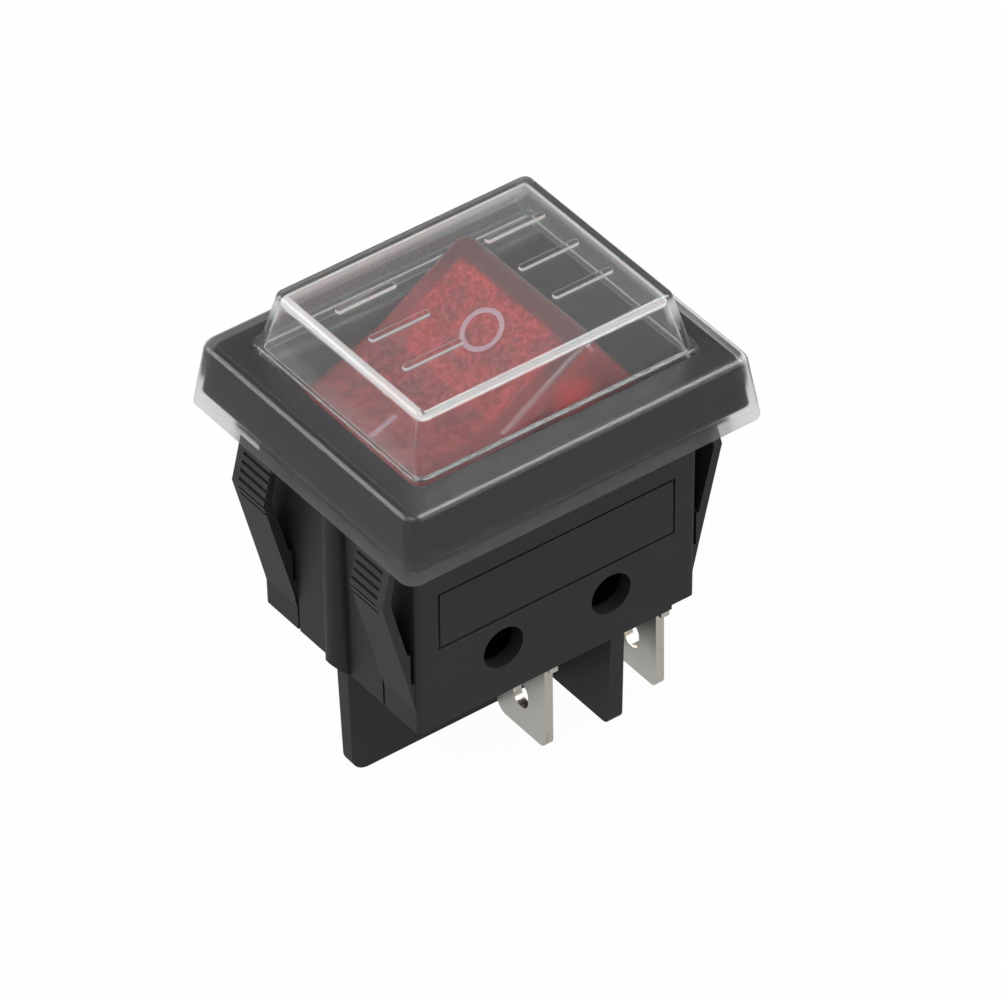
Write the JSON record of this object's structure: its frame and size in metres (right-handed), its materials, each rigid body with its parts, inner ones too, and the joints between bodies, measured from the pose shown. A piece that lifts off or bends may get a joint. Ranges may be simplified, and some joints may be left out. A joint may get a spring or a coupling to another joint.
{
  "type": "panel rocker switch",
  "caption": "Snap-in panel rocker switch: red lit rocker under a clear waterproof cap, black body with snap arms, flat push-on tabs below.",
  "frame": {"origin": "middle of the seat on the panel's front, level with the underside of the cap's skirt", "axes": "+Z out of the panel towards the user, +X along the rocker towards its raised O end, +Y along the rocker's pivot"},
  "size_m": [0.034, 0.0288, 0.0419],
  "materials": {
    "housing": "fine satin, black",
    "cap": "clear soft plastic, glossy",
    "rocker": "translucent red, glossy, with a fine grid moulded underneath",
    "lamp_glass": "clear glass",
    "resistor": "lacquered",
    "lead_wire": "tinned",
    "spring_steel": "drawn wire",
    "plunger": "smooth",
    "contact_brass": "rolled strip",
    "contact_silver": "silver face",
    "terminal": "tinned brass, bare brass at the cut edges"
  },
  "bodies": {
    "case": {"housing": "housing", "waterproof_cap": "cap", "centre_terminal_front": "terminal", "centre_terminal_rear": "terminal", "end_terminal_front": "terminal", "end_terminal_rear": "terminal", "fixed_contact_front": "contact_silver", "fixed_contact_rear": "contact_silver"},
    "rocker": {"rocker": "rocker", "neon_lamp": "lamp_glass", "ballast_resistor": "resistor", "lamp_lead_front": "lead_wire", "lamp_lead_rear": "lead_wire", "plunger_spring_front": "spring_steel", "plunger_spring_rear": "spring_steel"},
    "plunger_front": {"plunger_front": "plunger"},
    "bridge_front": {"contact_bridge_front": "contact_brass", "moving_contact_front": "contact_silver"},
    "plunger_rear": {"plunger_rear": "plunger"},
    "bridge_rear": {"contact_bridge_rear": "contact_brass", "moving_contact_rear": "contact_silver"}
  },
  "joints": [
    {"name": "rocker_tilt", "type": "hinge", "parent": "case", "child": "rocker", "pos_m": [0, 0, -0.003], "axis": [0, 1, 0], "range_deg": [0, 52]},
    {"name": "bridge_front_tip", "type": "hinge", "parent": "case", "child": "bridge_front", "pos_m": [0, -0.00575, -0.013], "axis": [0, 1, 0], "range_deg": [-16, 0]},
    {"name": "plunger_front_slide", "type": "slide", "parent": "rocker", "child": "plunger_front", "axis": [-0.4384, 0, 0.8988], "range_m": [0, 0.001], "stiffness_N_per_m": 150, "springref_m": -0.003, "deforming": ["plunger_spring_front"]},
    {"name": "bridge_rear_tip", "type": "hinge", "parent": "case", "child": "bridge_rear", "pos_m": [0, 0.00575, -0.013], "axis": [0, 1, 0], "range_deg": [-16, 0]},
    {"name": "plunger_rear_slide", "type": "slide", "parent": "rocker", "child": "plunger_rear", "axis": [-0.4384, 0, 0.8988], "range_m": [0, 0.001], "stiffness_N_per_m": 150, "springref_m": -0.003, "deforming": ["plunger_spring_rear"]}
  ],
  "couplings": [
    {"joint": "bridge_front_tip", "follows": "rocker_tilt", "ratio": -0.3},
    {"joint": "bridge_rear_tip", "follows": "rocker_tilt", "ratio": -0.3}
  ]
}
